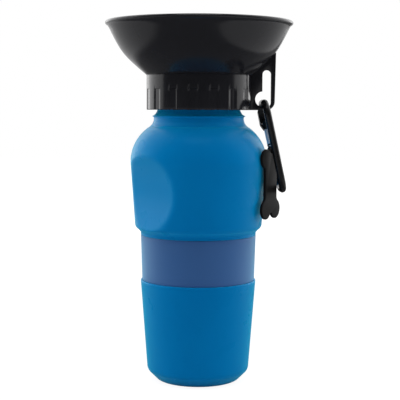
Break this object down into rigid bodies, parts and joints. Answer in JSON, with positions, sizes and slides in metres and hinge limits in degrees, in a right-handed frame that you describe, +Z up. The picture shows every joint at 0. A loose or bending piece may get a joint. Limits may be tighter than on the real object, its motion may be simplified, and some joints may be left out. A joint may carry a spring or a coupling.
{
  "type": "dog travel water bottle",
  "caption": "Squeeze bottle for a dog's walk, with a screw-on drinking bowl, a twist valve, a carabiner on a hang flange and a bone-shaped tag.",
  "frame": {"origin": "middle of the bottle's foot, on the surface that it stands on", "axes": "+Z up along the bottle's axis, +X towards the hang flange and the carabiner, +Y away from the viewer of the picture"},
  "size_m": [0.1202, 0.1202, 0.2319],
  "materials": {
    "bottle_blue": "satin",
    "band_blue": "matte",
    "gasket_clear": "matte",
    "cap_black": "gloss",
    "tube_clear": "satin",
    "o_ring_black": "matte",
    "knob_black": "gloss",
    "carabiner_black": "gloss",
    "gate_silver": "satin",
    "rivet_steel": "satin",
    "spring_steel": "satin",
    "plunger_brass": "satin",
    "link_rubber": "matte",
    "bone_grey": "matte"
  },
  "bodies": {
    "bottle": {"squeeze_bottle": "bottle_blue", "grip_band": "band_blue"},
    "seal": {"neck_gasket": "gasket_clear"},
    "cap": {"bowl_cap": "cap_black", "dip_tube": "tube_clear", "valve_o_ring": "o_ring_black"},
    "knob": {"valve_knob": "knob_black"},
    "carabiner": {"carabiner_frame": "carabiner_black", "gate_rivet": "rivet_steel", "tag_link": "link_rubber"},
    "gate": {"carabiner_gate": "gate_silver", "latch_pin": "rivet_steel", "gate_spring": "spring_steel", "spring_plunger": "plunger_brass"},
    "bone": {"bone_tag": "bone_grey"}
  },
  "joints": [
    {"name": "cap_lift", "type": "slide", "parent": "bottle", "child": "seal", "axis": [0, 0, 1], "range_m": [0, 0.0075]},
    {"name": "cap_turn", "type": "hinge", "parent": "seal", "child": "cap", "pos_m": [0, 0, 0.19274], "axis": [0, 0, 1], "range_deg": [0, 540]},
    {"name": "valve_turn", "type": "hinge", "parent": "cap", "child": "knob", "pos_m": [0, 0, 0.19734], "axis": [0, 0, 1], "range_deg": [0, 90]},
    {"name": "carabiner_swing", "type": "hinge", "parent": "cap", "child": "carabiner", "pos_m": [0.0412, 0, 0.17994], "axis": [0.0341, -0.9994, 0.0075], "range_deg": [0, 90]},
    {"name": "gate_open", "type": "hinge", "parent": "carabiner", "child": "gate", "pos_m": [0.04751, 0.00708, 0.15002], "axis": [0.9762, 0.0349, 0.2141], "range_deg": [0, 26], "stiffness_Nm_per_rad": 0.02, "springref_deg": -17.19},
    {"name": "bone_swing", "type": "hinge", "parent": "carabiner", "child": "bone", "pos_m": [0.04562, -0.01192, 0.14954], "axis": [0.8572, -0.515, 0], "range_deg": [-12, 0]}
  ],
  "couplings": [
    {"joint": "cap_lift", "follows": "cap_turn", "m_per_rad": 0.00079577}
  ]
}
